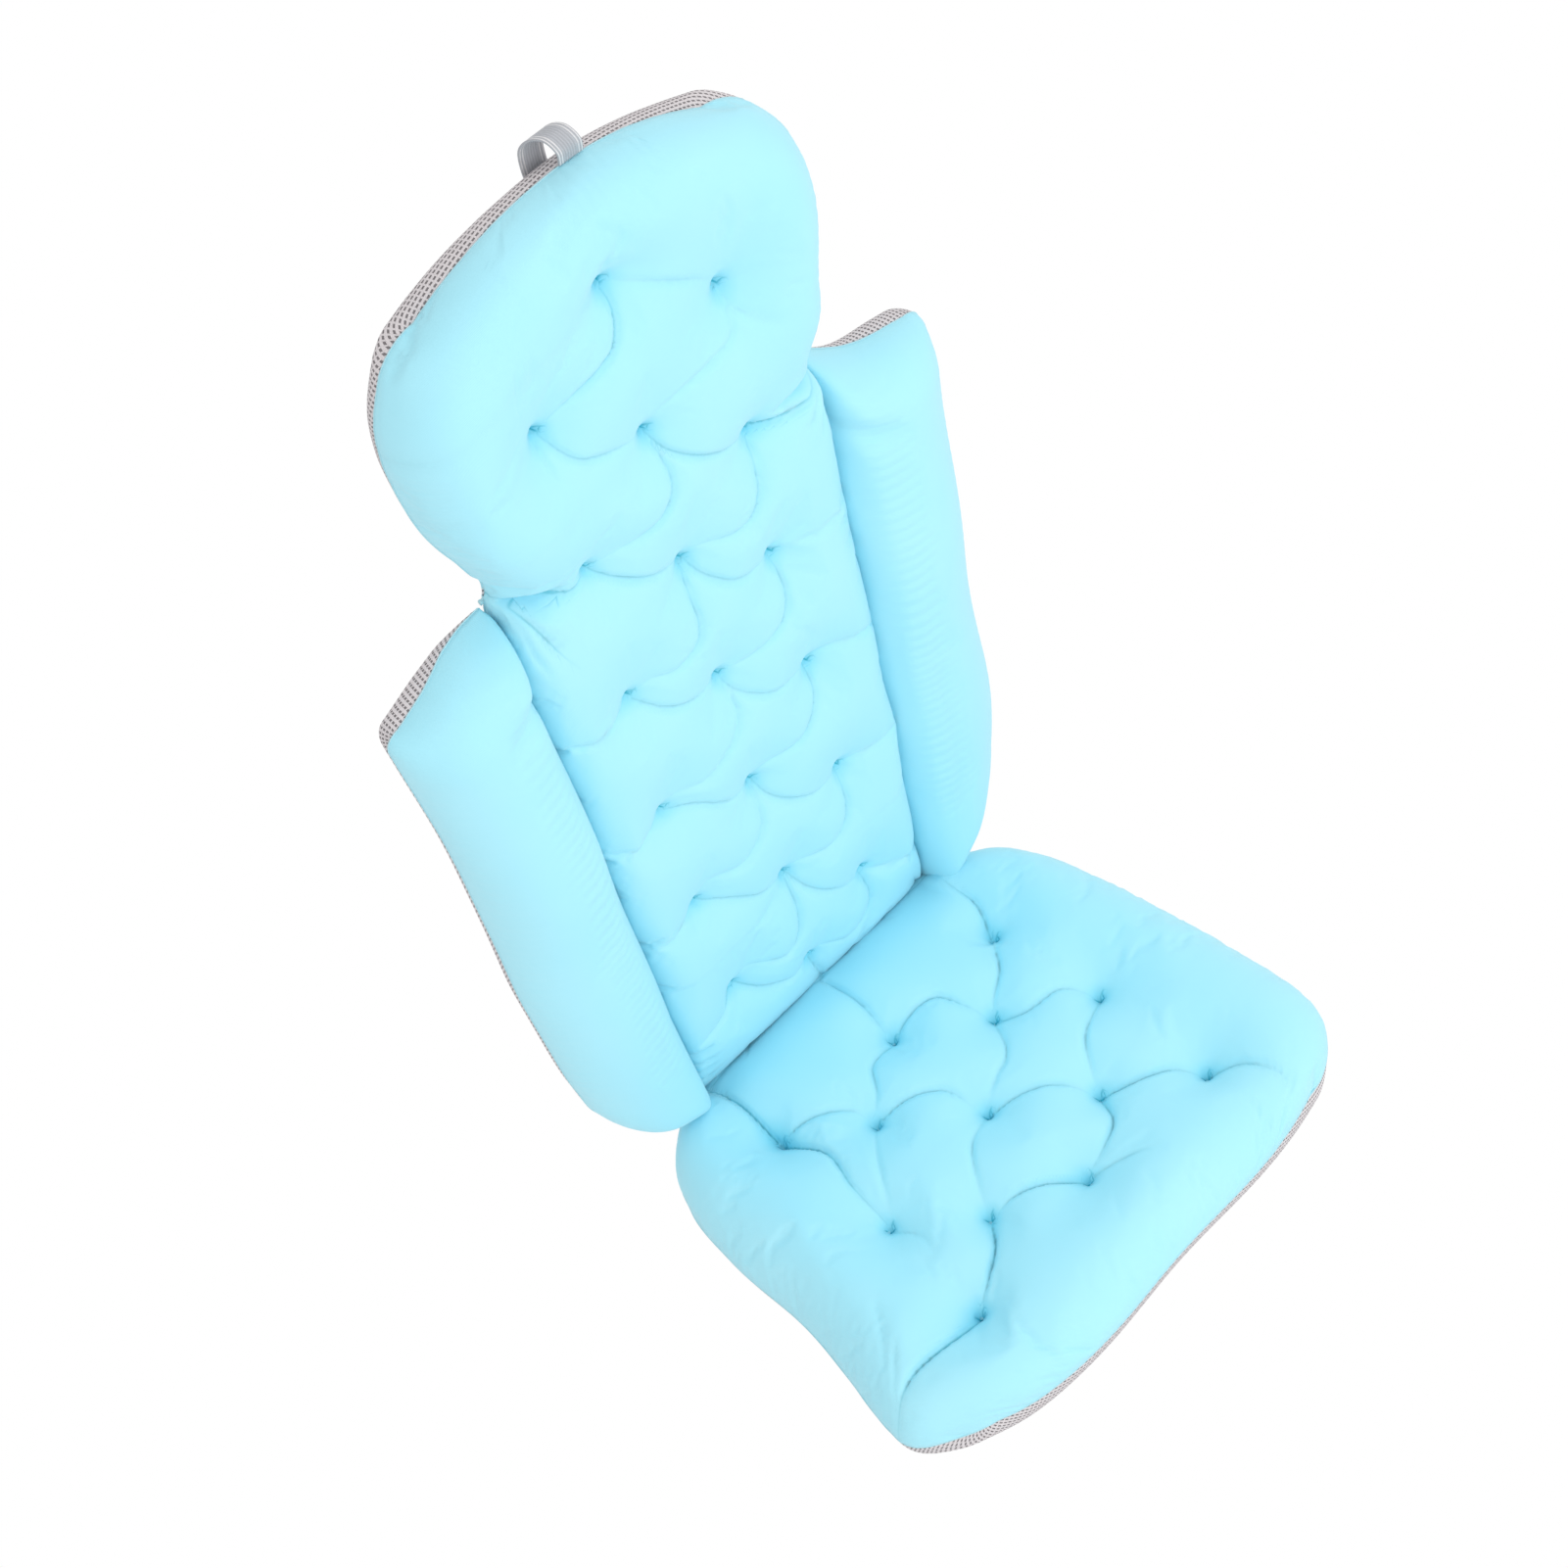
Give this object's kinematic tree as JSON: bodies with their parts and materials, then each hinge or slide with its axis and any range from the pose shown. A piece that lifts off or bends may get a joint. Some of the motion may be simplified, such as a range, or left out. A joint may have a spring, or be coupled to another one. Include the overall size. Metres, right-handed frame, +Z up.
{
  "type": "full-body bath pillow",
  "caption": "Folding padded bath cushion with a tufted seat, tufted back and headrest, two side wings, a mesh underside, suction cups and a hanging loop.",
  "frame": {"origin": "on the surface that the seat's suction cups stand on, under the middle of the whole pillow's box", "axes": "+Z up along the back, -Y the way the sitter looks, +X to the viewer's right when facing the back from the front"},
  "size_m": [0.4598, 0.4198, 0.8934],
  "materials": {
    "face_fabric": "smooth stretch knit, sky blue",
    "spacer_mesh": "open spacer mesh, warm light grey",
    "fibre_filling": "loose polyester fibre, white",
    "webbing": "ribbed woven webbing, grey",
    "clear_rubber": "soft clear vinyl"
  },
  "bodies": {
    "seat": {"seat_face_cover": "face_fabric", "seat_filling": "fibre_filling", "seat_mesh_backing": "spacer_mesh", "seat_suction_cup_1": "clear_rubber", "seat_suction_cup_2": "clear_rubber", "seat_suction_cup_3": "clear_rubber", "seat_suction_cup_4": "clear_rubber", "seat_cup_patch_1": "webbing", "seat_cup_patch_2": "webbing", "seat_cup_patch_3": "webbing", "seat_cup_patch_4": "webbing", "seat_seam": "face_fabric"},
    "back": {"back_face_cover": "face_fabric", "back_filling": "fibre_filling", "back_mesh_backing": "spacer_mesh", "back_suction_cup_1": "clear_rubber", "back_suction_cup_2": "clear_rubber", "back_cup_patch_1": "webbing", "back_cup_patch_2": "webbing", "neck_seam": "face_fabric", "left_wing_seam": "face_fabric", "right_wing_seam": "face_fabric"},
    "head": {"head_face_cover": "face_fabric", "head_filling": "fibre_filling", "head_mesh_backing": "spacer_mesh", "head_suction_cup_1": "clear_rubber", "head_suction_cup_2": "clear_rubber", "head_cup_patch_1": "webbing", "head_cup_patch_2": "webbing", "hanging_loop": "webbing"},
    "left_wing": {"left_wing_face_cover": "face_fabric", "left_wing_filling": "fibre_filling", "left_wing_mesh_backing": "spacer_mesh"},
    "right_wing": {"right_wing_face_cover": "face_fabric", "right_wing_filling": "fibre_filling", "right_wing_mesh_backing": "spacer_mesh"}
  },
  "joints": [
    {"name": "seat_fold", "type": "hinge", "parent": "seat", "child": "back", "pos_m": [0, 0.19905, 0.0144], "axis": [1, 0, 0], "range_deg": [-92, 6]},
    {"name": "neck_bend", "type": "hinge", "parent": "back", "child": "head", "pos_m": [0, 0.17773, 0.62503], "axis": [1, 0, 0], "range_deg": [-40, 12]},
    {"name": "left_wing_fold", "type": "hinge", "parent": "back", "child": "left_wing", "pos_m": [-0.126, 0.19905, 0.0144], "axis": [-0.0164, -0.0349, 0.9993], "range_deg": [-45, 20]},
    {"name": "right_wing_fold", "type": "hinge", "parent": "back", "child": "right_wing", "pos_m": [0.126, 0.19905, 0.0144], "axis": [0.0164, -0.0349, 0.9993], "range_deg": [-20, 45]}
  ]
}
